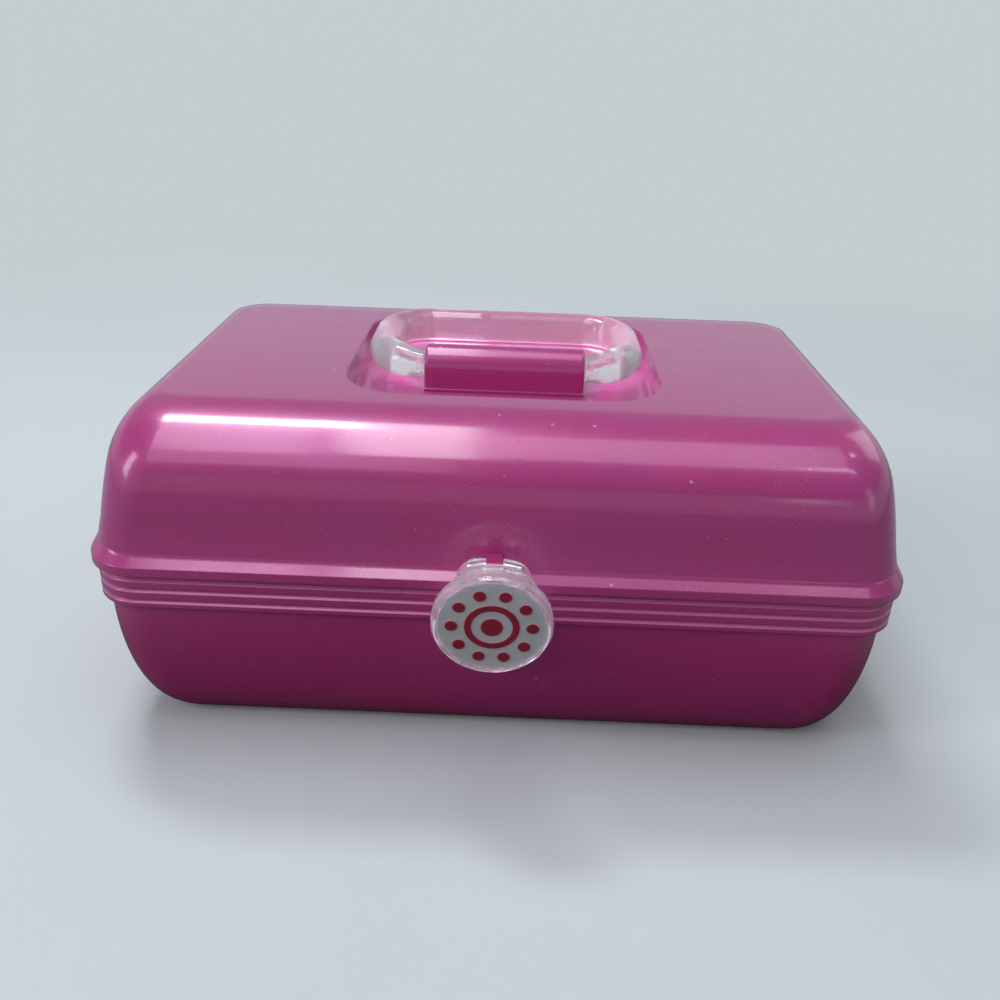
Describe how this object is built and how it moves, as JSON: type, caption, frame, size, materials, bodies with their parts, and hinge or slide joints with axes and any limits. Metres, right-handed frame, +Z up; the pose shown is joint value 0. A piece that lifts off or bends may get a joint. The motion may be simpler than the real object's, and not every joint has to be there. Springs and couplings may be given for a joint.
{
  "type": "makeup storage case",
  "caption": "Hard clamshell make-up case with a fold-flat handle in the lid, a round front latch and trays that rise as the lid opens.",
  "frame": {"origin": "centre of the underside, on the plane of the moulded foot ring", "axes": "+X to the right along the case's width, -Y towards the front with the latch, +Z up"},
  "size_m": [0.325, 0.2634, 0.1436],
  "materials": {
    "pearl_pink": "pearl gloss with fine pale flecks",
    "clear_handle": "clear polished acrylic",
    "clear_latch": "clear polished acrylic",
    "badge_white": "printed, under clear lacquer",
    "badge_red": "printed, under clear lacquer",
    "tray_plastic": "satin moulded",
    "steel": "bright zinc",
    "mirror_glass": "polished"
  },
  "bodies": {
    "base": {"base_shell": "pearl_pink", "base_pivots": "steel", "hinge_pins": "steel"},
    "lid": {"lid_shell": "pearl_pink", "handle_barrel": "pearl_pink", "latch_pin": "steel", "lid_pivots": "steel", "mirror_frame": "pearl_pink", "mirror_glass": "mirror_glass"},
    "handle": {"handle_loop": "clear_handle"},
    "latch": {"latch_body": "clear_latch", "latch_badge": "badge_white", "latch_motif": "badge_red"},
    "upper_tray": {"upper_tray": "tray_plastic", "upper_tray_pivots": "steel"},
    "lower_tray": {"lower_tray": "tray_plastic", "lower_tray_pivots": "steel"},
    "rear_arm_left": {"rear_arm_left": "steel", "link_pivot_left": "steel"},
    "rear_arm_right": {"rear_arm_right": "steel", "link_pivot_right": "steel"},
    "front_arm_left": {"front_arm_left": "steel"},
    "front_arm_right": {"front_arm_right": "steel"},
    "drag_link_left": {"drag_link_left": "steel"},
    "drag_link_right": {"drag_link_right": "steel"}
  },
  "joints": [
    {"name": "lid_hinge", "type": "hinge", "parent": "base", "child": "lid", "pos_m": [0, 0.1216, 0.077], "axis": [-1, 0, 0], "range_deg": [0, 95]},
    {"name": "handle_hinge", "type": "hinge", "parent": "lid", "child": "handle", "pos_m": [0, -0.013, 0.134], "axis": [1, 0, 0], "range_deg": [0, 150]},
    {"name": "latch_hinge", "type": "hinge", "parent": "lid", "child": "latch", "pos_m": [0, -0.1215, 0.0901], "axis": [-1, 0, 0], "range_deg": [0, 90]},
    {"name": "rear_arm_left_pivot", "type": "hinge", "parent": "base", "child": "rear_arm_left", "pos_m": [-0.1428, 0.078, 0.071], "axis": [-1, 0, 0], "range_deg": [0, 95]},
    {"name": "rear_arm_right_pivot", "type": "hinge", "parent": "base", "child": "rear_arm_right", "pos_m": [0.1428, 0.078, 0.071], "axis": [-1, 0, 0], "range_deg": [0, 95]},
    {"name": "front_arm_left_pivot", "type": "hinge", "parent": "base", "child": "front_arm_left", "pos_m": [-0.1428, -0.01, 0.071], "axis": [-1, 0, 0], "range_deg": [0, 95]},
    {"name": "front_arm_right_pivot", "type": "hinge", "parent": "base", "child": "front_arm_right", "pos_m": [0.1428, -0.01, 0.071], "axis": [-1, 0, 0], "range_deg": [0, 95]},
    {"name": "drag_link_left_pivot", "type": "hinge", "parent": "lid", "child": "drag_link_left", "pos_m": [-0.1428, 0.08401, 0.09068], "axis": [-1, 0, 0], "range_deg": [-95, 0]},
    {"name": "drag_link_right_pivot", "type": "hinge", "parent": "lid", "child": "drag_link_right", "pos_m": [0.1428, 0.08401, 0.09068], "axis": [-1, 0, 0], "range_deg": [-95, 0]},
    {"name": "upper_tray_pivot", "type": "hinge", "parent": "rear_arm_right", "child": "upper_tray", "pos_m": [0.1428, 0.00242, 0.07894], "axis": [-1, 0, 0], "range_deg": [-95, 0]},
    {"name": "lower_tray_pivot", "type": "hinge", "parent": "rear_arm_right", "child": "lower_tray", "pos_m": [0.1428, 0.04037, 0.06571], "axis": [-1, 0, 0], "range_deg": [-95, 0]}
  ],
  "couplings": [
    {"joint": "rear_arm_left_pivot", "follows": "lid_hinge", "ratio": 1},
    {"joint": "rear_arm_right_pivot", "follows": "lid_hinge", "ratio": 1},
    {"joint": "front_arm_left_pivot", "follows": "lid_hinge", "ratio": 1},
    {"joint": "front_arm_right_pivot", "follows": "lid_hinge", "ratio": 1},
    {"joint": "drag_link_left_pivot", "follows": "lid_hinge", "ratio": -1},
    {"joint": "drag_link_right_pivot", "follows": "lid_hinge", "ratio": -1},
    {"joint": "upper_tray_pivot", "follows": "lid_hinge", "ratio": -1},
    {"joint": "lower_tray_pivot", "follows": "lid_hinge", "ratio": -1}
  ]
}
